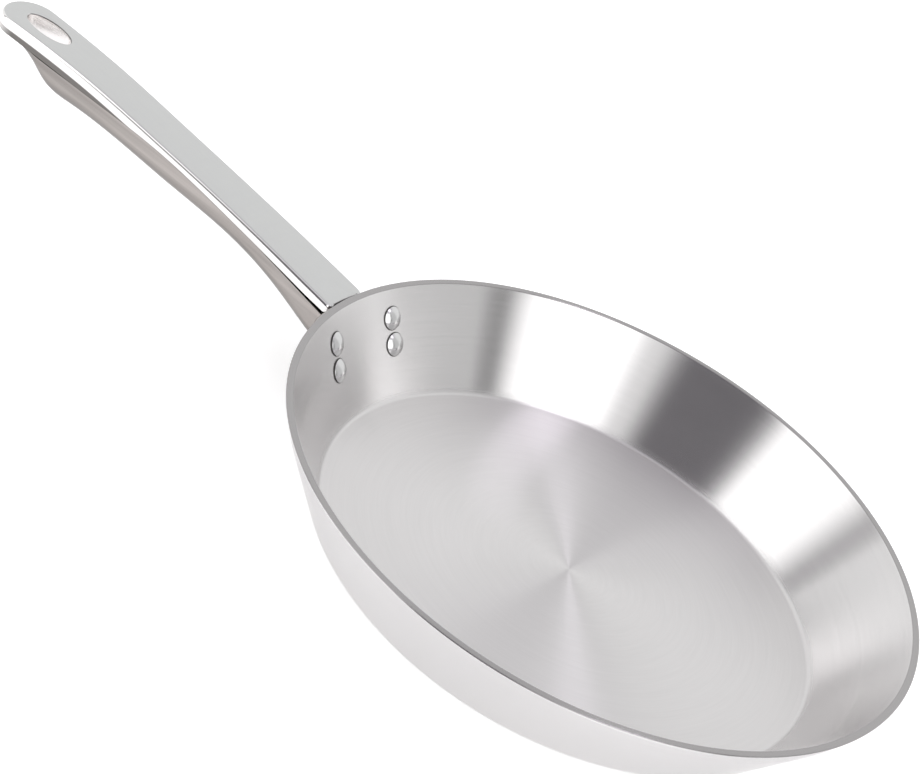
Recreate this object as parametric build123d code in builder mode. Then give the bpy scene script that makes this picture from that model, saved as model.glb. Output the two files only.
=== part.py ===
from build123d import *
import os
from math import asin, cos, radians, sin, tan

# Omelette pan with a hollow riveted handle.
# The origin is the centre of the flat base, +Z is up and the handle points along +X.

# Pan body: one spun aluminium dish
rim_diameter = 240.0
pan_height = 38.0
wall_thickness = 3.0
wall_angle = 33.0  # degrees from vertical
base_corner_radius = 16.0  # outside, under the wall
floor_corner_radius = 4.0  # inside, round the cooking surface
rim_round = 1.2

# Mounting bracket: a saddle plate that hugs the outside of the wall
bracket_thickness = 2.5
bracket_width = 54.0
bracket_height = 22.8
bracket_drop = 3.6  # from the rim down to its upper edge
bracket_corner_radius = 6.0

# Rivets: two columns of two
rivet_column_spacing = 36.0
rivet_first_row = 11.0  # along the wall from the rim
rivet_row_spacing = 9.9
rivet_shank_diameter = 5.0
rivet_head_diameter = 8.6
rivet_head_height = 2.1
rivet_tail_diameter = 7.6
rivet_tail_height = 1.5
rivet_edge_height = 0.5  # straight side of a head or a tail under its dome
rivet_clearance = 0.03  # between its flat faces and the curved walls that they sit on

# Handle, in plan
handle_length = 180.0  # from the rim to the tip
handle_root_width = 21.8
handle_waist_width = 20.8
handle_tip_width = 24.0
handle_tip_round = 11.0  # length of the rounded end
handle_waist_share = 0.4

# Handle, from the side: heights of the flat top above the base
handle_root_height = 34.2
handle_quarter_height = 39.7
handle_middle_height = 44.0
handle_crest_height = 47.3
handle_tip_height = 47.2

# Upper shell of the handle: a flat top with a turned-down edge
cover_sheet = 1.2
cover_edge_round = 0.8
cover_root_round = 3.0  # its two corners beside the pan, in plan
cover_lower_round = 3.6  # the lower corners of its turned-down edge beside the pan
cover_root_gap = 0.3  # between it and the bracket
cover_root_edge = 3.8  # depth of the turned-down edge at each quarter of the length
cover_quarter_edge = 3.3
cover_middle_edge = 2.8
cover_crest_edge = 5.8
cover_tip_edge = 5.2

# Lower shell of the handle: a rounded trough that flares at the pan and is scooped up to the
# tip. Each depth is that of its lowest line below the flat top of the handle.
shell_sheet = 1.5
shell_step = 0.8  # how far its sides stand inside the edge of the cover
seam_gap = 0.5  # groove between the edge of the cover and the sides of the trough
shell_corner_radius = 7.5
shell_root_width = 25.2
shell_root_depth = 17.2
shell_rim_depth = 18.2
shell_flare_depth = 16.1
shell_throat_depth = 13.7
shell_neck_depth = 12.8
shell_grip_depth = 14.4
shell_palm_depth = 16.9
shell_heel_depth = 16.0
shell_scoop_depth = 11.8
shell_nose_depth = 9.0
shell_tip_depth = 5.6
shell_end_depth = 4.0

# Hanging slot and the sleeve that lines it
slot_length = 20.9
slot_width = 11.0
slot_tip_distance = 20.2  # from the tip to the centre of the slot
sleeve_wall = 1.2

# Every cut runs past the faces that it opens by this much
overrun = 2.0

# Sizes that follow from the ones above
slope = radians(wall_angle)
rim_radius = rim_diameter / 2
wall_width = wall_thickness / cos(slope)  # the wall measured level
sharp_rim_radius = rim_radius + rim_round * (tan(slope) + 1 / cos(slope) - 1)  # before rounding
inner_rim_radius = sharp_rim_radius - wall_width
tip_x = rim_radius + handle_length
slot_x = tip_x - slot_tip_distance

# Lines of the handle seen from the side are set at the rim, the quarters and the tip
quarter_shares = (0, 0.25, 0.5, 0.75, 1)
top_heights = (
    handle_root_height,
    handle_quarter_height,
    handle_middle_height,
    handle_crest_height,
    handle_tip_height,
)
edge_depths = (
    cover_root_edge,
    cover_quarter_edge,
    cover_middle_edge,
    cover_crest_edge,
    cover_tip_edge,
)
block_width = handle_tip_width + bracket_width  # wider than anything on the handle
block_height = max(top_heights) + bracket_height  # higher than anything on the handle


def wall_radius(height, outset=0.0):
    """Radius of the outside of the wall at a height, or of a skin outset from it."""
    return sharp_rim_radius - (pan_height - height) * tan(slope) + outset / cos(slope)


start_x = wall_radius(0)  # the handle's outlines start here, inside the wall
start_share = (start_x - rim_radius) / handle_length


def handle_x(share):
    """Place along the handle: 0 at the rim, 1 at the tip."""
    return rim_radius + share * handle_length


# Rivets: where they stand, how they are shaped and the bores that they fill
rivet_rows = {"upper": rivet_first_row, "lower": rivet_first_row + rivet_row_spacing}
rivet_sides = {"left": -1, "right": 1}
grip = wall_thickness + bracket_thickness


def inner_radius(row):
    """Radius of the inside of the wall at a rivet row."""
    return inner_rim_radius - row * sin(slope)


def rivet_turn(row, side):
    """Angle of a rivet about the pan: both rows have the same spacing."""
    return side * asin(rivet_column_spacing / 2 / inner_radius(row))


def rivet_directions(row, side):
    """Level direction along the wall and the direction into the pan, at a rivet."""
    turn = rivet_turn(row, side)
    along = Vector(-sin(turn), cos(turn), 0)
    inward = Vector(-cos(slope) * cos(turn), -cos(slope) * sin(turn), sin(slope))
    return along, inward


def rivet_seat_point(row, side):
    """Point on the inside of the wall under the middle of a rivet head."""
    turn = rivet_turn(row, side)
    radius = inner_radius(row)
    return Vector(radius * cos(turn), radius * sin(turn), pan_height - row * cos(slope))


with BuildPart() as rivet_bores:
    for row in rivet_rows.values():
        for side in rivet_sides.values():
            along, inward = rivet_directions(row, side)
            seat = rivet_seat_point(row, side)
            with BuildSketch(Plane(origin=seat, x_dir=along, z_dir=inward)):
                Circle(rivet_shank_diameter / 2)
            extrude(amount=grip + overrun, both=True)


# Pan body
with BuildPart() as pan_body:
    inner_base_radius = wall_radius(wall_thickness) - wall_width
    with BuildSketch(Plane.XZ) as wall_section:
        with BuildLine():
            Polyline(
                (0, 0),
                (wall_radius(0), 0),
                (sharp_rim_radius, pan_height),
                (inner_rim_radius, pan_height),
                (inner_base_radius, wall_thickness),
                (0, wall_thickness),
                close=True,
            )
        make_face()
        for corner, radius in (
            ((wall_radius(0), 0), base_corner_radius),
            ((inner_base_radius, wall_thickness), floor_corner_radius),
        ):
            fillet(wall_section.vertices().sort_by_distance(corner)[0], radius)
        fillet(wall_section.vertices().group_by(Axis.Y)[-1], rim_round)
    revolve(axis=Axis.Z)
    add(rivet_bores.part, mode=Mode.SUBTRACT)


# Mounting bracket
with BuildPart() as mounting_bracket:
    bracket_top = pan_height - bracket_drop
    bracket_bottom = bracket_top - bracket_height
    with BuildSketch(Plane.XZ):
        with BuildLine():
            low = bracket_bottom - overrun
            high = bracket_top + overrun
            Polyline(
                (wall_radius(low), low),
                (wall_radius(low, bracket_thickness), low),
                (wall_radius(high, bracket_thickness), high),
                (wall_radius(high), high),
                close=True,
            )
        make_face()
    revolve(axis=Axis.Z)
    with BuildSketch(Plane.YZ):
        with Locations((0, (bracket_top + bracket_bottom) / 2)):
            RectangleRounded(bracket_width, bracket_height, bracket_corner_radius)
    extrude(amount=rim_diameter, mode=Mode.INTERSECT)
    add(rivet_bores.part, mode=Mode.SUBTRACT)


# Space taken by the pan and the bracket, which cuts the root of the handle to fit
with BuildPart() as root_cutter:
    with BuildSketch(Plane.XZ):
        with BuildLine():
            high = block_height
            Polyline(
                (0, 0),
                (wall_radius(0, bracket_thickness), 0),
                (wall_radius(high, bracket_thickness), high),
                (0, high),
                close=True,
            )
        make_face()
    revolve(axis=Axis.Z)


# Lines of the handle seen from the side
def side_line(heights):
    """Points of a smooth line along the handle, led straight on inside the wall."""
    points = [(handle_x(share), z) for share, z in zip(quarter_shares, heights)]
    (x0, z0), (x1, z1) = points[:2]
    lead = z0 + (z1 - z0) * (start_x - x0) / (x1 - x0)
    return [(start_x, lead)] + points


def straight_height(share):
    """Height of the flat top at a share of the length, straight from quarter to quarter."""
    quarter = min(max(int(share * (len(quarter_shares) - 1)), 0), len(quarter_shares) - 2)
    share0, share1 = quarter_shares[quarter : quarter + 2]
    height0, height1 = top_heights[quarter : quarter + 2]
    return height0 + (height1 - height0) * (share - share0) / (share1 - share0)


def lowered(line, drop):
    """The same line, moved down."""
    return [(x, z - drop) for x, z in line]


top_line = side_line(top_heights)
seam_line = side_line([z - depth for z, depth in zip(top_heights, edge_depths)])
under_line = lowered(top_line, cover_sheet)


def between_lines(upper, lower):
    """Level-sided slab of the handle between two lines seen from the side."""
    with BuildPart() as slab:
        with BuildSketch(Plane.XZ.offset(-block_width / 2)):
            with BuildLine():
                upper_curve = Spline(*upper)
                lower_curve = Spline(*lower)
                Line(upper_curve @ 0, lower_curve @ 0)
                Line(upper_curve @ 1, lower_curve @ 1)
            make_face()
        extrude(amount=block_width)
    return slab.part


def plan_outline(inset):
    """Outline of the handle in plan, drawn in by an inset."""
    shoulder_x = tip_x - handle_tip_round
    root_half = handle_root_width / 2 - inset
    waist_half = handle_waist_width / 2 - inset
    tip_half = handle_tip_width / 2 - inset
    with BuildSketch(Plane.XY) as outline:
        with BuildLine():
            side = Spline(
                (start_x, root_half),
                (handle_x(0), root_half),
                (handle_x(handle_waist_share), waist_half),
                (shoulder_x, tip_half),
                tangents=[(1, 0), (1, 0)],
            )
            mirror(side, about=Plane.XZ)
            Line(side @ 0, (start_x, -root_half))
            EllipticalCenterArc(
                (shoulder_x, 0),
                handle_tip_round - inset,
                tip_half,
                start_angle=-90,
                arc_size=180,
            )
        make_face()
    return outline.sketch


def slot_block(growth):
    """Upright oval block through the tip, as large as the slot and a growth all round."""
    with BuildPart() as block:
        with BuildSketch(Plane.XY):
            with Locations((slot_x, 0)):
                Ellipse(slot_length / 2 + growth, slot_width / 2 + growth)
        extrude(amount=block_height)
    return block.part


# Upper shell of the handle
cover_top_slab = between_lines(top_line, seam_line)
cover_inner_slab = between_lines(under_line, lowered(seam_line, overrun))
cover_root_radius = wall_radius(handle_root_height, bracket_thickness) + cover_root_gap

with BuildPart() as cover_corner_cutter:
    with BuildSketch(Plane.XZ.offset(-block_width / 2)):
        corner = (cover_root_radius, handle_root_height - cover_root_edge)
        with Locations(corner):
            Rectangle(2 * cover_lower_round, 2 * cover_lower_round)
        with Locations((corner[0] + cover_lower_round, corner[1] + cover_lower_round)):
            Circle(cover_lower_round, mode=Mode.SUBTRACT)
    extrude(amount=block_width)

with BuildPart() as cover_hollow:
    with BuildSketch(Plane.XY):
        add(plan_outline(cover_sheet))
    extrude(amount=block_height)
    add(cover_inner_slab, mode=Mode.INTERSECT)

with BuildPart() as handle_cover:
    with BuildSketch(Plane.XY) as cover_plan:
        add(plan_outline(0))
        Circle(cover_root_radius, mode=Mode.SUBTRACT)
        fillet(cover_plan.vertices().sort_by(Axis.X)[:2], cover_root_round)
    extrude(amount=block_height)
    add(cover_top_slab, mode=Mode.INTERSECT)
    top_and_underside = handle_cover.faces().sort_by(SortBy.AREA)[-2:]
    fillet(top_and_underside.sort_by(Axis.Z)[-1].edges(), cover_edge_round)
    add(cover_hollow.part, mode=Mode.SUBTRACT)
    add(cover_corner_cutter.part, mode=Mode.SUBTRACT)
    add(slot_block(0), mode=Mode.SUBTRACT)


# Lower shell of the handle: stations of its trough, from inside the wall to past the tip.
# Its width is that of the waist, and each station has its share of the flare at the root
# and of the spread at the tip.
station_shares = (start_share, 0, 0.08, 0.17, 0.29, 0.47, 0.75, 0.825, 0.87, 0.92, 1, 1.04)
flare_shares = (1, 0.87, 0.58, 0.27, 0.03, 0.03, 0, 0, 0, 0, 0, 0)
spread_shares = (0, 0, 0, 0, 0, 0.1, 0.65, 0.85, 0.9, 0.95, 1, 1)
station_depths = (
    shell_root_depth,
    shell_rim_depth,
    shell_flare_depth,
    shell_throat_depth,
    shell_neck_depth,
    shell_grip_depth,
    shell_palm_depth,
    shell_heel_depth,
    shell_scoop_depth,
    shell_nose_depth,
    shell_tip_depth,
    shell_end_depth,
)
shell_waist_half = handle_waist_width / 2 - shell_step
shell_flare = shell_root_width / 2 - shell_waist_half
shell_spread = (handle_tip_width - handle_waist_width) / 2


def trough(inset):
    """Rounded trough along the whole handle, drawn in by an inset, with an open top."""
    with BuildPart() as body:
        for share, flare_share, spread_share, depth in zip(
            station_shares, flare_shares, spread_shares, station_depths
        ):
            half = shell_waist_half + flare_share * shell_flare + spread_share * shell_spread
            bottom = straight_height(share) - depth + inset
            with BuildSketch(Plane.YZ.offset(handle_x(share))) as section:
                with Locations((0, bottom)):
                    Rectangle(
                        2 * (half - inset),
                        block_height - bottom,
                        align=(Align.CENTER, Align.MIN),
                    )
                low_corners = section.vertices().group_by(Axis.Y)[0]
                fillet(low_corners, shell_corner_radius - inset)
        loft()
        # the end under the tip follows the rounded plan of the cover
        with BuildSketch(Plane.XY):
            shoulder_x = tip_x - handle_tip_round
            with Locations((start_x, 0)):
                Rectangle(
                    shoulder_x - start_x,
                    block_width,
                    align=(Align.MIN, Align.CENTER),
                )
            with Locations((shoulder_x, 0)):
                Ellipse(
                    handle_tip_round - shell_step - inset,
                    handle_tip_width / 2 - shell_step - inset,
                )
        extrude(amount=block_height, mode=Mode.INTERSECT)
    return body.part


trough_cavity = trough(shell_sheet)

# Space open to it: inside the cover, and under a groove below the lower edge of the cover
with BuildPart() as space_under_cover:
    add(between_lines(lowered(seam_line, seam_gap), lowered(seam_line, handle_tip_height)))
    add(cover_hollow.part)

with BuildPart() as handle_shell:
    add(trough(0))
    add(space_under_cover.part, mode=Mode.INTERSECT)
    add(trough_cavity, mode=Mode.SUBTRACT)
    add(root_cutter.part, mode=Mode.SUBTRACT)
    add(slot_block(0), mode=Mode.SUBTRACT)


# Sleeve that lines the hanging slot between the two shells
with BuildPart() as hanging_sleeve:
    add(slot_block(sleeve_wall))
    add(trough_cavity, mode=Mode.INTERSECT)
    add(space_under_cover.part, mode=Mode.INTERSECT)
    add(slot_block(0), mode=Mode.SUBTRACT)


# Rivets, each a domed head inside the pan, a shank and a set tail outside the bracket
def make_rivet(row, side):
    """One rivet at its place, with flat faces that sit on the wall and on the bracket."""
    along, inward = rivet_directions(row, side)
    head_radius = rivet_head_diameter / 2
    tail_radius = rivet_tail_diameter / 2
    shank_radius = rivet_shank_diameter / 2
    wall_curve_radius = inner_radius(row) / cos(slope)
    head_base = head_radius**2 / wall_curve_radius / 2 + rivet_clearance
    tail_base = -grip - rivet_clearance
    half_plane = Plane(
        origin=rivet_seat_point(row, side), x_dir=along, z_dir=along.cross(inward)
    )
    with BuildPart() as rivet:
        with BuildSketch(half_plane):
            with BuildLine():
                head_top = (0, rivet_head_height)
                tail_top = (0, -grip - rivet_tail_height)
                head_dome = TangentArc(
                    head_top, (head_radius, rivet_edge_height), tangent=(1, 0)
                )
                tail_dome = TangentArc(
                    tail_top, (tail_radius, -grip - rivet_edge_height), tangent=(1, 0)
                )
                Polyline(
                    head_dome @ 1,
                    (head_radius, head_base),
                    (shank_radius, head_base),
                    (shank_radius, tail_base),
                    (tail_radius, tail_base),
                    tail_dome @ 1,
                )
                Line(tail_top, head_top)
            make_face()
        revolve(axis=Axis(rivet_seat_point(row, side), inward))
    return rivet.part


pieces = {
    "pan_body": pan_body.part,
    "mounting_bracket": mounting_bracket.part,
    "handle_cover": handle_cover.part,
    "handle_shell": handle_shell.part,
    "hanging_sleeve": hanging_sleeve.part,
}
for row_name, row in rivet_rows.items():
    for side_name, side in rivet_sides.items():
        pieces[f"rivet_{row_name}_{side_name}"] = make_rivet(row, side)

os.makedirs("parts", exist_ok=True)
for name, piece in pieces.items():
    piece.label = name
    export_step(piece, f"parts/{name}.step")
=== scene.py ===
from math import acos, asin, cos, hypot, pi, radians, sin, sqrt, tan

import bmesh
import bpy
from mathutils import Matrix, Vector


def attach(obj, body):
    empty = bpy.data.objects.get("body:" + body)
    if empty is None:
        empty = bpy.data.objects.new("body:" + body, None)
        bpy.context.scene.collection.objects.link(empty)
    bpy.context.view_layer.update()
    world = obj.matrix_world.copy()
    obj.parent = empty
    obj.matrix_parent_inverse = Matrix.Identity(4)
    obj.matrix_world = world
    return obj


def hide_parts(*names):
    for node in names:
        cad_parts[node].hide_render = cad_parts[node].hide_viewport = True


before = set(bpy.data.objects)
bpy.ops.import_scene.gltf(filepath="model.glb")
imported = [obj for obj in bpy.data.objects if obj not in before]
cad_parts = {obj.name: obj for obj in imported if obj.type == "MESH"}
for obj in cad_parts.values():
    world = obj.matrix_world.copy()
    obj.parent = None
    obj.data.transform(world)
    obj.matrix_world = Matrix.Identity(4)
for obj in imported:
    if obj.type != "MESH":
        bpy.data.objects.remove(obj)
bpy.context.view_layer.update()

# Omelette pan: the spun dish, the hollow handle and the rivets, with their finishes.
# Lengths are in millimetres here and become metres where a mesh is made.
mm = 0.001

# Pan
rim_diameter = 240.0
pan_height = 38.0
wall_thickness = 3.0
wall_angle = 33.0  # degrees from vertical
base_corner_radius = 16.0  # outside, under the wall
floor_corner_radius = 2.0  # inside, round the cooking surface
rim_round = 1.2
rim_inner_round = 0.6  # the edges of the flat rim are sharper than in the solid
rim_outer_round = 0.5
rim_sharp_radius = 120.3  # where its outer edge would be, were it not rounded
lip_foot = 31.0  # height from which the wall bends up a little to that edge
lip_round = 14.0

# Bracket and rivets
bracket_thickness = 2.5
rivet_column_spacing = 36.0
rivet_first_row = 11.0  # along the wall from the rim
rivet_row_spacing = 9.9
rivet_head_diameter = 8.6
rivet_head_height = 2.1
rivet_tail_diameter = 7.6
rivet_tail_height = 1.5
rivet_edge_height = 0.5
rivet_shank_diameter = 5.0
rivet_clearance = 0.03  # of the flat faces from the curved wall and bracket
rivet_seat_rim = 0.3  # width of the painted shadow line where a head meets the wall
rivet_seat_height = 0.06

# Handle, in plan
handle_length = 180.0
handle_root_width = 21.8
handle_waist_width = 20.8
handle_tip_width = 24.0
handle_tip_round = 11.0
handle_waist_share = 0.4

# Handle, from the side
quarter_shares = (0, 0.25, 0.5, 0.75, 1)
top_heights = (34.2, 39.7, 44.0, 47.3, 47.2)
edge_depths = (3.8, 3.3, 2.8, 5.8, 5.2)
cover_sheet = 1.2
cover_edge_round = 1.4
cover_root_round = 3.0
cover_lower_round = 3.6
cover_root_gap = 0.3
slot_length = 20.9
slot_width = 11.0
slot_tip_distance = 20.2
slot_edge_round = 0.35
strip_start = 3.7  # depth at which the strip of painted shade on the turned-down edge begins
strip_fade = 0.3
strip_ends = (3.0, 13.0)  # distances from the tip between which the strip fades in
shadow_line_height = 0.12  # height of the painted shadow line along its lower edge
lower_lap = 0.2  # how much nearer the edge comes to the trough than in the solid

# Fineness of the meshes
pan_steps = 288  # round the axis
rivet_steps = 64
slot_steps = 96
cover_slice = 3.0  # spacing of the cuts across the cover, which let it follow its curve
merge_distance = 0.0005

# Sizes that follow
slope = radians(wall_angle)
rim_radius = rim_diameter / 2
wall_width = wall_thickness / cos(slope)
sharp_rim_radius = rim_radius + rim_round * (tan(slope) + 1 / cos(slope) - 1)
inner_rim_radius = sharp_rim_radius - wall_width
tip_x = rim_radius + handle_length
slot_x = tip_x - slot_tip_distance
shoulder_x = tip_x - handle_tip_round


def wall_radius(height, outset=0.0):
    """Radius of the outside of the wall at a height, or of a skin outset from it."""
    return sharp_rim_radius - (pan_height - height) * tan(slope) + outset / cos(slope)


def handle_x(share):
    """Place along the handle: 0 at the rim, 1 at the tip."""
    return rim_radius + share * handle_length


# Finishes


def node_adder(tree):
    """A short way to add nodes, whose inputs are values or the sockets that feed them."""

    def add(kind, inputs=None, **settings):
        node = tree.nodes.new(kind)
        for key, value in settings.items():
            setattr(node, key, value)
        for key, value in (inputs or {}).items():
            if isinstance(value, bpy.types.NodeSocket):
                tree.links.new(value, node.inputs[key])
            else:
                node.inputs[key].default_value = value
        return node

    return add


def finish_nodes(name, colour, metallic, roughness):
    """A new finish and a short way to add nodes to it."""
    finish = bpy.data.materials.new(name)
    finish.use_nodes = True
    tree = finish.node_tree
    shader = tree.nodes["Principled BSDF"]
    shader.inputs["Base Color"].default_value = (*colour, 1)
    shader.inputs["Metallic"].default_value = metallic
    shader.inputs["Roughness"].default_value = roughness
    return finish, tree, shader, node_adder(tree)


def spun_aluminium(name, colour, roughness, floor_roughness):
    """Aluminium brushed in circles about the axis of the pan, a little rougher on its floor."""
    finish, tree, shader, add = finish_nodes(name, colour, 1, roughness)
    place = add("ShaderNodeTexCoord").outputs["Object"]
    apart = add("ShaderNodeSeparateXYZ", {0: place})
    level = add("ShaderNodeCombineXYZ", {0: apart.outputs[0], 1: apart.outputs[1]})
    reach = add("ShaderNodeVectorMath", {0: level.outputs[0]}, operation="LENGTH")
    along = add("ShaderNodeVectorMath", {0: level.outputs[0]}, operation="NORMALIZE")
    ring = add("ShaderNodeMath", {0: reach.outputs["Value"], 1: apart.outputs[2]}, operation="ADD")

    def lines(tightness, sweep):
        turn = add("ShaderNodeVectorMath", {0: along.outputs[0], "Scale": sweep}, operation="SCALE")
        split = add("ShaderNodeSeparateXYZ", {0: turn.outputs[0]})
        step = add("ShaderNodeMath", {0: ring.outputs[0], 1: tightness}, operation="MULTIPLY")
        spot = add(
            "ShaderNodeCombineXYZ",
            {0: split.outputs[0], 1: split.outputs[1], 2: step.outputs[0]},
        )
        return add(
            "ShaderNodeTexNoise", {"Vector": spot.outputs[0], "Scale": 1.0, "Detail": 2.0}
        ).outputs[0]

    fine = lines(2600.0, 4.0)
    broad = lines(700.0, 2.0)
    bump = add("ShaderNodeBump", {"Strength": 0.02, "Distance": 0.00002, "Height": fine})
    tree.links.new(bump.outputs[0], shader.inputs["Normal"])
    wear = add(
        "ShaderNodeMapRange",
        {"Value": fine, "From Min": 0.3, "From Max": 0.7, "To Min": -0.015, "To Max": 0.015},
    )
    low = add(
        "ShaderNodeMapRange",
        {
            "Value": apart.outputs[2],
            "From Min": (wall_thickness + 1) * mm,
            "From Max": (wall_thickness + 3) * mm,
            "To Min": floor_roughness,
            "To Max": roughness,
        },
    )
    rough = add("ShaderNodeMath", {0: low.outputs[0], 1: wear.outputs[0]}, operation="ADD")
    tree.links.new(rough.outputs[0], shader.inputs["Roughness"])
    both = add("ShaderNodeMath", {0: fine, 1: broad}, operation="ADD")
    shade = add(
        "ShaderNodeMapRange",
        {
            "Value": both.outputs[0],
            "From Min": 0.7,
            "From Max": 1.3,
            "To Min": 0.983,
            "To Max": 1.017,
        },
    )
    tint = add(
        "ShaderNodeMix",
        {0: 1.0, 6: (*colour, 1), 7: shade.outputs[0]},
        data_type="RGBA",
        blend_type="MULTIPLY",
    )
    tree.links.new(tint.outputs[2], shader.inputs["Base Color"])
    around = add("ShaderNodeTangent", direction_type="RADIAL", axis="Z")
    tree.links.new(around.outputs[0], shader.inputs["Tangent"])
    shader.inputs["Anisotropic"].default_value = 1.0
    shader.inputs["Anisotropic Rotation"].default_value = 0.25
    return finish


def long_grained_steel(name, colour, roughness, grain_depth):
    """Steel with a fine grain along the handle."""
    finish, tree, shader, add = finish_nodes(name, colour, 1, roughness)
    place = add("ShaderNodeTexCoord").outputs["Object"]
    stretch = add("ShaderNodeMapping", {"Vector": place, "Scale": (12.0, 1500.0, 1500.0)})
    grain = add("ShaderNodeTexNoise", {"Vector": stretch.outputs[0], "Scale": 1.0, "Detail": 3.0})
    bump = add(
        "ShaderNodeBump",
        {"Strength": 0.1, "Distance": grain_depth, "Height": grain.outputs[0]},
    )
    tree.links.new(bump.outputs[0], shader.inputs["Normal"])
    rough = add(
        "ShaderNodeMapRange",
        {
            "Value": grain.outputs[0],
            "From Min": 0.3,
            "From Max": 0.7,
            "To Min": roughness * 0.85,
            "To Max": roughness * 1.15,
        },
    )
    tree.links.new(rough.outputs[0], shader.inputs["Roughness"])
    return finish


def steel_with_painted_shade(name, light, painted_shade_colour, roughness):
    """Polished steel of the trough, with painted shade on its rounded underside and towards the scoop.
    """
    finish = long_grained_steel(name, light, roughness, 0.00001)
    tree = finish.node_tree
    shader = tree.nodes["Principled BSDF"]
    add = node_adder(tree)
    facing = add("ShaderNodeSeparateXYZ", {0: add("ShaderNodeNewGeometry").outputs["Normal"]})
    place = add("ShaderNodeSeparateXYZ", {0: add("ShaderNodeTexCoord").outputs["Object"]})
    # Painted shade: faces turned downwards take the darker colour.
    side = add(
        "ShaderNodeMapRange",
        {"Value": facing.outputs[2], "From Min": -0.7, "From Max": -0.1},
        interpolation_type="SMOOTHSTEP",
    )
    colour = add(
        "ShaderNodeMix",
        {0: side.outputs[0], 6: (*painted_shade_colour, 1), 7: (*light, 1)},
        data_type="RGBA",
    )
    broad_place = add(
        "ShaderNodeMapping",
        {"Vector": add("ShaderNodeTexCoord").outputs["Object"], "Scale": (9.0, 260.0, 260.0)},
    )
    streak = add("ShaderNodeTexNoise", {"Vector": broad_place.outputs[0], "Scale": 1.0, "Detail": 3.0})
    streaks = add(
        "ShaderNodeMapRange",
        {
            "Value": streak.outputs[0],
            "From Min": 0.35,
            "From Max": 0.65,
            "To Min": 0.86,
            "To Max": 1.14,
        },
    )
    # Painted shade, deepening towards the scoop near the tip.
    scoop_painted_shade = add(
        "ShaderNodeMapRange",
        {
            "Value": place.outputs[0],
            "From Min": handle_x(0.6) * mm,
            "From Max": handle_x(0.85) * mm,
            "To Min": 1.0,
            "To Max": 0.8,
        },
        interpolation_type="SMOOTHSTEP",
    )
    shade = add("ShaderNodeMath", {0: streaks.outputs[0], 1: scoop_painted_shade.outputs[0]}, operation="MULTIPLY")
    tint = add(
        "ShaderNodeMix",
        {0: 1.0, 6: colour.outputs[2], 7: shade.outputs[0]},
        data_type="RGBA",
        blend_type="MULTIPLY",
    )
    tree.links.new(tint.outputs[2], shader.inputs["Base Color"])
    return finish


def edged_steel(name, bright, line, strip, roughness):
    """Polished turned-down edge, with a strip of painted shade low down near the tip and a fine
    painted shadow line along its lower edge.
    """
    finish, tree, shader, add = finish_nodes(name, bright, 1, roughness)
    depth = add("ShaderNodeAttribute", attribute_name="edge_depth").outputs["Fac"]
    left = add("ShaderNodeAttribute", attribute_name="edge_left").outputs["Fac"]
    place = add("ShaderNodeSeparateXYZ", {0: add("ShaderNodeTexCoord").outputs["Object"]})

    def fade(value, low, high):
        return add(
            "ShaderNodeMapRange", {"Value": value, "From Min": low, "From Max": high}
        ).outputs[0]

    def over(mask, below, above):
        return add("ShaderNodeMix", {0: mask, 6: below, 7: above}, data_type="RGBA").outputs[2]

    # Painted shade: a dark strip low on the edge, fading in short of the tip.
    low = fade(depth, strip_start, strip_start + strip_fade)
    short_of_tip = fade(place.outputs[0], *[(tip_x - end) * mm for end in strip_ends])
    painted_shade_strip = add("ShaderNodeMath", {0: low, 1: short_of_tip}, operation="MULTIPLY").outputs[0]
    banded = over(painted_shade_strip, (*bright, 1), (*strip, 1))
    # Painted shadow: a dark line along the lower edge, where it meets the trough.
    lined = over(fade(left, shadow_line_height * 1.2, shadow_line_height * 0.8), banded, (*line, 1))
    tree.links.new(lined, shader.inputs["Base Color"])
    return finish


aluminium = spun_aluminium("spun aluminium", (0.79, 0.777, 0.777), 0.21, 0.29)
# The rim's darker colour is a painted dark reflection on its top.
rim_painted_reflection = spun_aluminium("rim painted reflection", (0.44, 0.43, 0.43), 0.25, 0.25)
satin = long_grained_steel("satin steel", (0.675, 0.682, 0.677), 0.36, 0.00003)
# Its line colour is a painted shadow along the lower edge and its strip colour is painted shade.
polished = edged_steel(
    "polished edge",
    bright=(0.95, 0.94, 0.93),
    line=(0.03, 0.03, 0.03),
    strip=(0.2, 0.19, 0.18),
    roughness=0.1,
)
# A dark colour for painted shade on the slot's edge and at the end beside the pan.
painted_shade_edge = long_grained_steel("painted shade edge", (0.16, 0.15, 0.15), 0.3, 0.000003)
sleeve_steel = long_grained_steel("sleeve steel", (1.0, 0.98, 0.97), 0.25, 0.000003)
# The trough's darker colour is painted shade on its underside and towards the scoop.
trough_steel_painted_shade = steel_with_painted_shade("trough steel with painted shade", (0.44, 0.41, 0.39), (0.26, 0.24, 0.23), 0.18)
rivet_metal = long_grained_steel("rivet metal", (0.74, 0.74, 0.74), 0.2, 0.000003)
# A dark colour for the painted shadow where each head meets the wall.
rivet_painted_shadow = long_grained_steel("rivet painted shadow", (0.17, 0.165, 0.16), 0.4, 0.000003)


def finish_piece(bm, name, finishes, node, sharp=40.0):
    """Close up a mesh, smooth it and put it in place of its node."""
    bmesh.ops.remove_doubles(bm, verts=bm.verts, dist=merge_distance * mm)
    bmesh.ops.recalc_face_normals(bm, faces=bm.faces)
    for face in bm.faces:
        face.smooth = True
    for edge in bm.edges:
        edge.smooth = edge.calc_face_angle(0) < radians(sharp)
    mesh = bpy.data.meshes.new(name)
    bm.to_mesh(mesh)
    bm.free()
    for finish in finishes:
        mesh.materials.append(finish)
    piece = bpy.data.objects.new(name, mesh)
    bpy.context.scene.collection.objects.link(piece)
    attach(piece, "root")
    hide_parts(node)
    return piece


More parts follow.
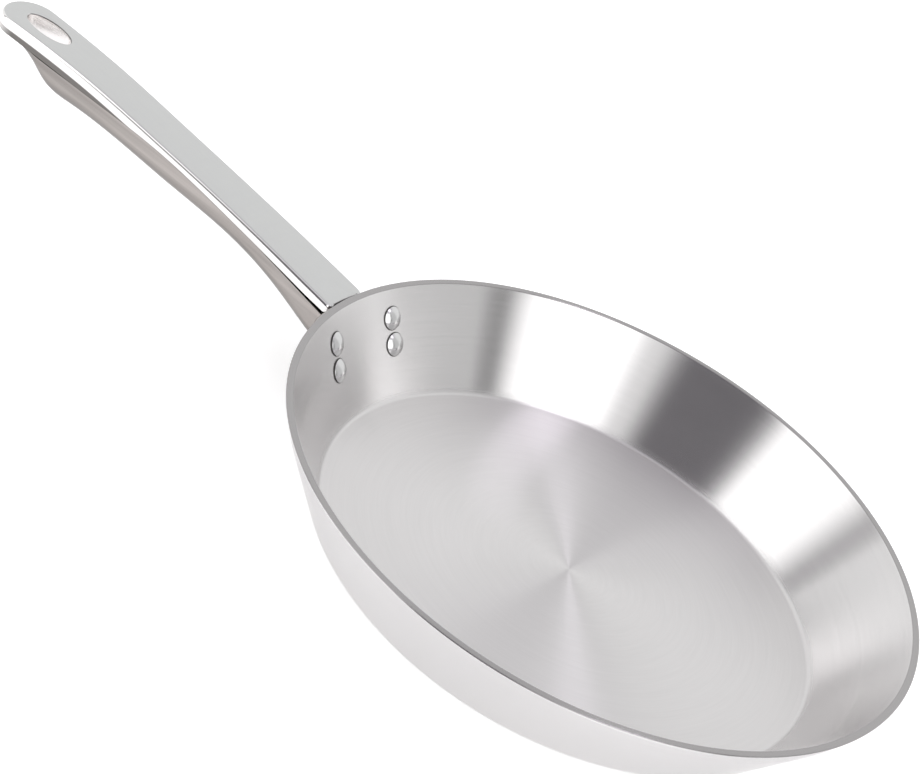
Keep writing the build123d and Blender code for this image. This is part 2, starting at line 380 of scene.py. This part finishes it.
def rounded_corner(before, corner, after, radius, steps):
    """Points of a tangent arc in place of a corner of a section."""
    corner = Vector(corner)
    one = (Vector(before) - corner).normalized()
    two = (Vector(after) - corner).normalized()
    half = acos(one.dot(two)) / 2
    centre = corner + (one + two).normalized() * radius / sin(half)
    start = corner + one * radius / tan(half) - centre
    end = corner + two * radius / tan(half) - centre
    sweep = start.angle_signed(end)
    return [centre + Matrix.Rotation(-sweep * i / steps, 2) @ start for i in range(steps + 1)]


def straight(start, end, step):
    """Points between two ends of a straight stretch, leaving the ends out."""
    start = Vector(start)
    end = Vector(end)
    count = max(int((end - start).length / step), 1)
    return [start.lerp(end, i / count) for i in range(1, count)]


def spun(points, steps):
    """Spin an open section, given as (radius, height), round the upright axis."""
    bm = bmesh.new()
    verts = [bm.verts.new((radius * mm, 0, height * mm)) for radius, height in points]
    edges = [bm.edges.new(pair) for pair in zip(verts, verts[1:])]
    bmesh.ops.spin(
        bm,
        geom=verts + edges,
        cent=(0, 0, 0),
        axis=(0, 0, 1),
        angle=2 * pi,
        steps=steps,
        use_merge=True,
    )
    return bm


def pan_section():
    """Section of the dish from the middle of the base out to the rim and back inside."""
    inner_base = wall_radius(wall_thickness) - wall_width
    corners = [
        (0, 0),
        (wall_radius(0), 0),
        (wall_radius(lip_foot), lip_foot),
        (rim_sharp_radius, pan_height),
        (inner_rim_radius, pan_height),
        (inner_base, wall_thickness),
        (0, wall_thickness),
    ]
    rounds = (base_corner_radius, lip_round, rim_outer_round, rim_inner_round, floor_corner_radius)
    step_counts = (24, 6, 14, 14, 24)
    line = [Vector(corners[0])]
    for before, corner, after, radius, steps in zip(
        corners, corners[1:], corners[2:], rounds, step_counts
    ):
        arc = rounded_corner(before, corner, after, radius, steps)
        line += straight(line[-1], arc[0], 3.0) + arc
    line += straight(line[-1], corners[-1], 3.0) + [Vector(corners[-1])]
    return line


def make_pan():
    """The dish, spun from one sheet."""
    bm = spun(pan_section(), pan_steps)
    finishes = [aluminium, rim_painted_reflection]
    piece = finish_piece(bm, "spun_dish", finishes, "pan_body")
    # The rim's upward faces take the darker colour: a painted dark reflection.
    for face in piece.data.polygons:
        cut = face.center.z > (pan_height - rim_round) * mm and face.normal.z > 0.35
        face.material_index = 1 if cut else 0
    return piece


# Lines of the handle seen from the side and in plan


def smooth_line(places):
    """A smooth height along x through places, with the slopes of a parabola at each."""
    xs = [x for x, _ in places]
    ys = [y for _, y in places]
    rises = [(ys[i + 1] - ys[i]) / (xs[i + 1] - xs[i]) for i in range(len(xs) - 1)]
    slopes = []
    for i in range(len(xs)):
        a = min(max(i - 1, 0), len(rises) - 2)
        left = xs[a + 1] - xs[a]
        right = xs[a + 2] - xs[a + 1]
        bend = (rises[a + 1] - rises[a]) / (left + right)
        slopes.append(rises[a] + bend * (2 * xs[i] - xs[a] - xs[a + 1]))

    def height(x):
        i = min(max(sum(x >= place for place in xs) - 1, 0), len(xs) - 2)
        width = xs[i + 1] - xs[i]
        t = (x - xs[i]) / width
        return (
            (2 * t**3 - 3 * t**2 + 1) * ys[i]
            + (t**3 - 2 * t**2 + t) * width * slopes[i]
            + (3 * t**2 - 2 * t**3) * ys[i + 1]
            + (t**3 - t**2) * width * slopes[i + 1]
        )

    return height


def side_line(heights):
    """Smooth line along the handle through the heights at the quarters, led on to the wall."""
    places = [(handle_x(share), z) for share, z in zip(quarter_shares, heights)]
    (x0, z0), (x1, z1) = places[:2]
    start = wall_radius(0)
    lead = z0 + (z1 - z0) * (start - x0) / (x1 - x0)
    return smooth_line([(start, lead)] + places)


top_line = side_line(top_heights)
seam_line = side_line([z - depth for z, depth in zip(top_heights, edge_depths)])
plan_side = smooth_line(
    [
        (wall_radius(0), handle_root_width / 2),
        (handle_x(0), handle_root_width / 2),
        (handle_x(handle_waist_share), handle_waist_width / 2),
        (shoulder_x, handle_tip_width / 2),
    ]
)
cover_root_radius = wall_radius(top_heights[0], bracket_thickness) + cover_root_gap


def cover_ring(inset):
    """Closed outline of the handle's cover in plan, drawn in by an inset."""
    side_steps, tip_steps, root_steps, corner_steps = 70, 28, 12, 10
    reach = cover_root_radius + inset
    half = plan_side(handle_x(0)) - inset
    root_round = cover_root_round - inset * 0.5
    root_x = sqrt(reach**2 - half**2)
    along_rim = (root_x - 1, half - 9)
    along_side = (root_x + 9, half)
    corner = rounded_corner(along_rim, (root_x, half), along_side, root_round, corner_steps)
    side_start = corner[-1].x
    turns = [asin(corner[0].y / reach) * i / root_steps for i in range(root_steps)]
    upper = [Vector((reach * cos(a), reach * sin(a))) for a in turns]
    upper += corner
    for i in range(1, side_steps + 1):
        x = side_start + (shoulder_x - side_start) * i / side_steps
        upper.append(Vector((x, plan_side(x) - inset)))
    for i in range(1, tip_steps + 1):
        a = pi / 2 * i / tip_steps
        upper.append(
            Vector(
                (
                    shoulder_x + (handle_tip_round - inset) * sin(a),
                    (handle_tip_width / 2 - inset) * cos(a),
                )
            )
        )
    lower = [Vector((p.x, -p.y)) for p in upper[-2:0:-1]]
    return upper + lower


def slot_ring(growth):
    """Closed outline of the hanging slot, let out by a growth."""
    return [
        Vector(
            (
                slot_x + (slot_length / 2 + growth) * cos(2 * pi * i / slot_steps),
                (slot_width / 2 + growth) * sin(2 * pi * i / slot_steps),
            )
        )
        for i in range(slot_steps)
    ]


def edge_depth(x, y):
    """Depth of the turned-down edge, rounded off at its lower corners beside the pan."""
    depth = top_line(x) - seam_line(x) + lower_lap
    past = hypot(x, y) - cover_root_radius
    if past < cover_lower_round:
        beyond = cover_lower_round - max(past, 0)
        lift = cover_lower_round - sqrt(cover_lower_round**2 - beyond**2)
        depth = max(depth - lift, cover_sheet + 0.02)
    return depth


def ring_loop(bm, outline, drop):
    """Verts and edges of a closed outline, each at its drop below the flat top."""
    verts = [bm.verts.new((p.x * mm, p.y * mm, -drop(p) * mm)) for p in outline]
    return [bm.edges.new((verts[i - 1], verts[i])) for i in range(len(verts))]


def make_cover():
    """Upper shell of the handle: a flat top with a rounded edge turned down all round."""
    bm = bmesh.new()
    bend_steps = 6
    outer = [ring_loop(bm, cover_ring(0), lambda p: edge_depth(p.x, p.y))]
    for i in range(bend_steps + 1):
        a = pi / 2 * i / bend_steps
        inset = cover_edge_round * (1 - cos(a))
        drop = cover_edge_round * (1 - sin(a))
        outer.append(ring_loop(bm, cover_ring(inset), lambda p, drop=drop: drop))
    inner = [
        ring_loop(bm, cover_ring(cover_sheet), lambda p: cover_sheet),
        ring_loop(bm, cover_ring(cover_sheet), lambda p: edge_depth(p.x, p.y)),
    ]
    slot = []
    for i in range(4):
        a = pi / 2 * i / 3
        growth = slot_edge_round * (1 - sin(a))
        drop = slot_edge_round * (1 - cos(a))
        slot.append(ring_loop(bm, slot_ring(growth), lambda p, drop=drop: drop))
    slot.append(ring_loop(bm, slot_ring(0), lambda p: cover_sheet))
    for loops in (outer, inner, slot):
        for one, two in zip(loops, loops[1:]):
            bmesh.ops.bridge_loops(bm, edges=one + two)
    bmesh.ops.bridge_loops(bm, edges=outer[0] + inner[-1])
    bmesh.ops.triangle_fill(bm, use_beauty=True, edges=outer[-1] + slot[0])
    bmesh.ops.triangle_fill(bm, use_beauty=True, edges=inner[0] + slot[-1])
    station = cover_root_radius - 2
    while station < tip_x:
        bmesh.ops.bisect_plane(
            bm,
            geom=bm.verts[:] + bm.edges[:] + bm.faces[:],
            dist=0.001 * mm,
            plane_co=(station * mm, 0, 0),
            plane_no=(1, 0, 0),
        )
        station += cover_slice
    depth_layer = bm.verts.layers.float.new("edge_depth")
    left_layer = bm.verts.layers.float.new("edge_left")
    for vert in bm.verts:
        x = vert.co.x / mm
        drop = -vert.co.z / mm
        vert[depth_layer] = drop
        vert[left_layer] = edge_depth(x, vert.co.y / mm) - drop
        vert.co.z += top_line(x) * mm
    finishes = [satin, polished, painted_shade_edge, sleeve_steel]
    piece = finish_piece(bm, "pressed_cover", finishes, "handle_cover", 50)
    # Finish 2 is painted shade: on the slot's rounded edge where it faces +y, and on the upward faces
    # of the end beside the pan.
    for face in piece.data.polygons:
        across = (face.center.x / mm - slot_x) / (slot_length / 2 + cover_sheet)
        beside = face.center.y / mm / (slot_width / 2 + cover_sheet)
        upward = face.normal.z > 0.1
        if face.normal.z > 0.8:
            face.material_index = 0
        elif hypot(across, beside) < 1:
            face.material_index = 2 if upward and face.normal.y > 0.1 else 3
        else:
            face.material_index = 2 if upward and face.normal.x < -0.5 else 1
    return piece


def rivet_place(row, side):
    """Where a rivet stands: its seat on the inside of the wall and its axis into the pan."""
    radius = inner_rim_radius - row * sin(slope)
    turn = side * asin(rivet_column_spacing / 2 / radius)
    seat = Vector((radius * cos(turn), radius * sin(turn), pan_height - row * cos(slope))) * mm
    along = Vector((-sin(turn), cos(turn), 0))
    inward = Vector((-cos(slope) * cos(turn), -cos(slope) * sin(turn), sin(slope)))
    turned = Matrix((along, inward.cross(along), inward)).transposed().to_4x4()
    return Matrix.Translation(seat) @ turned


def dome_line(radius, edge, height, base, steps):
    """Points from the edge of a rivet's flat face up round its dome to its middle."""
    rise = height - edge
    sphere = (radius**2 + rise**2) / 2 / rise
    reach = asin(radius / sphere)
    line = [
        Vector((radius + rivet_seat_rim, base)),
        Vector((radius + rivet_seat_rim * 0.5, base + rivet_seat_height)),
        Vector((radius, base + rivet_seat_height)),
    ]
    for i in range(steps + 1):
        a = reach * (1 - i / steps)
        line.append(Vector((sphere * sin(a), height - sphere * (1 - cos(a)))))
    return line


def make_rivet(name, node, row, side):
    """One rivet: a domed head, a shank and a domed tail."""
    grip = wall_thickness + bracket_thickness
    shank = rivet_shank_diameter / 2
    head = rivet_head_diameter / 2
    tail = rivet_tail_diameter / 2
    curve = (inner_rim_radius - row * sin(slope)) / cos(slope)
    head_base = head**2 / curve / 2 + rivet_clearance
    top = dome_line(head, rivet_edge_height, rivet_head_height, head_base, 14)
    foot = dome_line(tail, rivet_edge_height, rivet_tail_height, rivet_clearance, 12)
    foot = [Vector((p.x, -grip - p.y)) for p in foot]
    line = foot[::-1] + [Vector((shank, foot[0].y)), Vector((shank, head_base))] + top
    bm = spun(line, rivet_steps)
    # The seat ring and the foot of the head's side take the dark colour: a painted shadow where the
    # head meets the wall.
    shadow_top = (rivet_edge_height - 0.1) * mm
    for face in bm.faces:
        face.material_index = 1 if 0 < face.calc_center_median().z < shadow_top else 0
    bmesh.ops.transform(bm, matrix=rivet_place(row, side), verts=bm.verts)
    finishes = [rivet_metal, rivet_painted_shadow]
    return finish_piece(bm, name, finishes, node, 35)


make_pan()
make_cover()
for row_name, row in (
    ("upper", rivet_first_row),
    ("lower", rivet_first_row + rivet_row_spacing),
):
    for side_name, side in (("left", -1), ("right", 1)):
        make_rivet(f"{row_name}_{side_name}_rivet", f"rivet_{row_name}_{side_name}", row, side)

for node, finish in (
    ("handle_shell", trough_steel_painted_shade),
    ("hanging_sleeve", sleeve_steel),
    ("mounting_bracket", trough_steel_painted_shade),
):
    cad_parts[node].material_slots[0].material = finish


# Floor
floor_lift = 0.5  # light added where the camera sees the floor, so that it is white
floor_glow = 0.31  # and where the metal sees it
floor_half = 4.0  # half its width, in metres
floor_gap = 0.1  # below the base


def make_floor():
    """Plain pale floor under the pan."""
    mesh = bpy.data.meshes.new("floor")
    bm = bmesh.new()
    bmesh.ops.create_grid(bm, x_segments=1, y_segments=1, size=floor_half)
    bmesh.ops.translate(bm, verts=bm.verts, vec=(0, 0, -floor_gap * mm))
    bm.to_mesh(mesh)
    bm.free()
    floor = bpy.data.objects.new("floor", mesh)
    bpy.context.scene.collection.objects.link(floor)
    finish, tree, shader, add = finish_nodes("pale floor", (0.93, 0.93, 0.93), 0, 0.9)
    shader.inputs["Specular IOR Level"].default_value = 0
    path = add("ShaderNodeLightPath").outputs
    plain = add("ShaderNodeMath", {0: path["Is Camera Ray"], 1: floor_lift}, operation="MULTIPLY")
    mirrored = add(
        "ShaderNodeMath",
        {0: path["Is Glossy Ray"], 1: path["Is Transmission Ray"]},
        operation="MAXIMUM",
    )
    lift = add(
        "ShaderNodeMath",
        {0: mirrored.outputs[0], 1: floor_glow, 2: plain.outputs[0]},
        operation="MULTIPLY_ADD",
    )
    shader.inputs["Emission Color"].default_value = (1, 1, 1, 1)
    tree.links.new(lift.outputs[0], shader.inputs["Emission Strength"])
    mesh.materials.append(finish)


make_floor()

# Studio: a pale surround with white panels, grey strips and a dark flag, under a dim ceiling
# with one small lamp. Each panel has the direction of its middle and half its width in degrees
# about the upright axis, the softness of its sides, its lowest and highest elevation and its
# colour.
surround_colour = (0.91, 0.91, 0.91)
studio_panels = (
    (196.0, 24.0, 8.0, -20.0, 80.0, (0.66, 0.66, 0.66)),  # grey wall on the handle's side
    (178.0, 4.5, 1.2, -20.0, 80.0, (0.26, 0.26, 0.26)),  # its dark end
    (147.0, 20.0, 8.0, -10.0, 80.0, (1.9, 1.9, 1.9)),  # white panel on the handle's side
    (88.0, 21.5, 8.0, -20.0, 80.0, (0.125, 0.12, 0.129)),  # dark flag
    (44.0, 18.0, 5.0, -10.0, 80.0, (1.6, 1.6, 1.6)),  # white panel on the far side
    (15.5, 4.5, 1.5, -20.0, 80.0, (0.47, 0.46, 0.47)),  # grey strip beside it
)
ceiling_colour = (0.62, 0.6, 0.63)
ceiling_start = 52.0  # elevations between which the ceiling begins
ceiling_full = 66.0
lamp_bearing = 200.0
lamp_elevation = 72.0
lamp_size = 6.0
lamp_colour = (4.0, 3.75, 4.2)


def make_studio():
    """World that lights the pan, plain white where the camera sees it directly."""
    world = bpy.data.worlds.new("studio")
    bpy.context.scene.world = world
    world.use_nodes = True
    tree = world.node_tree
    tree.nodes.clear()
    add = node_adder(tree)

    def times(one, two):
        return add("ShaderNodeMath", {0: one, 1: two}, operation="MULTIPLY").outputs[0]

    def ramp(value, low, high):
        return add(
            "ShaderNodeMapRange",
            {"Value": value, "From Min": low, "From Max": high},
            interpolation_type="SMOOTHSTEP",
        ).outputs[0]

    direction = add("ShaderNodeTexCoord").outputs["Generated"]
    apart = add("ShaderNodeSeparateXYZ", {0: direction})
    level = add("ShaderNodeCombineXYZ", {0: apart.outputs[0], 1: apart.outputs[1]})
    bearing = add("ShaderNodeVectorMath", {0: level.outputs[0]}, operation="NORMALIZE").outputs[0]
    height = apart.outputs[2]

    def over(mask, below, colour):
        inputs = {0: mask, 6: below, 7: (*colour, 1)}
        return add("ShaderNodeMix", inputs, data_type="RGBA").outputs[2]

    light = (*surround_colour, 1)
    for middle, half, soft, low, high, colour in studio_panels:
        toward = (cos(radians(middle)), sin(radians(middle)), 0)
        facing = add("ShaderNodeVectorMath", {0: bearing, 1: toward}, operation="DOT_PRODUCT")
        inside = ramp(facing.outputs["Value"], cos(radians(half + soft)), cos(radians(half - soft)))
        above = ramp(height, sin(radians(low - 5)), sin(radians(low + 5)))
        below = ramp(height, sin(radians(high + 5)), sin(radians(high - 5)))
        mask = times(times(inside, above), below)
        light = over(mask, light, colour)
    top = ramp(height, sin(radians(ceiling_start)), sin(radians(ceiling_full)))
    light = over(top, light, ceiling_colour)
    level_reach = cos(radians(lamp_elevation))
    lamp_toward = (
        level_reach * cos(radians(lamp_bearing)),
        level_reach * sin(radians(lamp_bearing)),
        sin(radians(lamp_elevation)),
    )
    facing = add("ShaderNodeVectorMath", {0: direction, 1: lamp_toward}, operation="DOT_PRODUCT")
    spot = ramp(facing.outputs["Value"], cos(radians(lamp_size * 1.2)), cos(radians(lamp_size * 0.8)))
    light = over(spot, light, lamp_colour)
    lit = add("ShaderNodeBackground", {"Color": light})
    plain = add("ShaderNodeBackground", {"Color": (1, 1, 1, 1)})
    seen = add("ShaderNodeLightPath").outputs["Is Camera Ray"]
    mix = add("ShaderNodeMixShader", {0: seen, 1: lit.outputs[0], 2: plain.outputs[0]})
    out = add("ShaderNodeOutputWorld")
    tree.links.new(mix.outputs[0], out.inputs["Surface"])


make_studio()

# Camera, at the photograph's viewing angle
camera_bearing = 109.662  # degrees about the upright axis from the handle's direction
camera_elevation = 31.17
camera_roll = 27.67
camera_distance = 846.98
aim_right = -38.14  # from the middle of the floor of the pan to the middle of the view
aim_up = 64.30
camera_lens = 93.81


def make_camera():
    """Camera that sees the pan as the photograph does."""
    bearing = radians(camera_bearing)
    elevation = radians(camera_elevation)
    roll = radians(camera_roll)
    back = Vector(
        (cos(elevation) * cos(bearing), cos(elevation) * sin(bearing), sin(elevation))
    )
    level_right = Vector((-sin(bearing), cos(bearing), 0))
    level_up = back.cross(level_right)
    right = level_right * cos(roll) + level_up * sin(roll)
    up = level_up * cos(roll) - level_right * sin(roll)
    middle = Vector((0, 0, wall_thickness))
    place = middle + right * aim_right + up * aim_up + back * camera_distance
    data = bpy.data.cameras.new("camera")
    data.lens = camera_lens
    data.clip_start = 0.01
    camera = bpy.data.objects.new("camera", data)
    bpy.context.scene.collection.objects.link(camera)
    camera.matrix_world = (
        Matrix.Translation(place * mm) @ Matrix((right, up, back)).transposed().to_4x4()
    )
    bpy.context.scene.camera = camera


make_camera()
bpy.context.scene.view_settings.view_transform = "Standard"


def corners(box):
    """A box as plain lists of numbers."""
    return [list(corner) for corner in box]
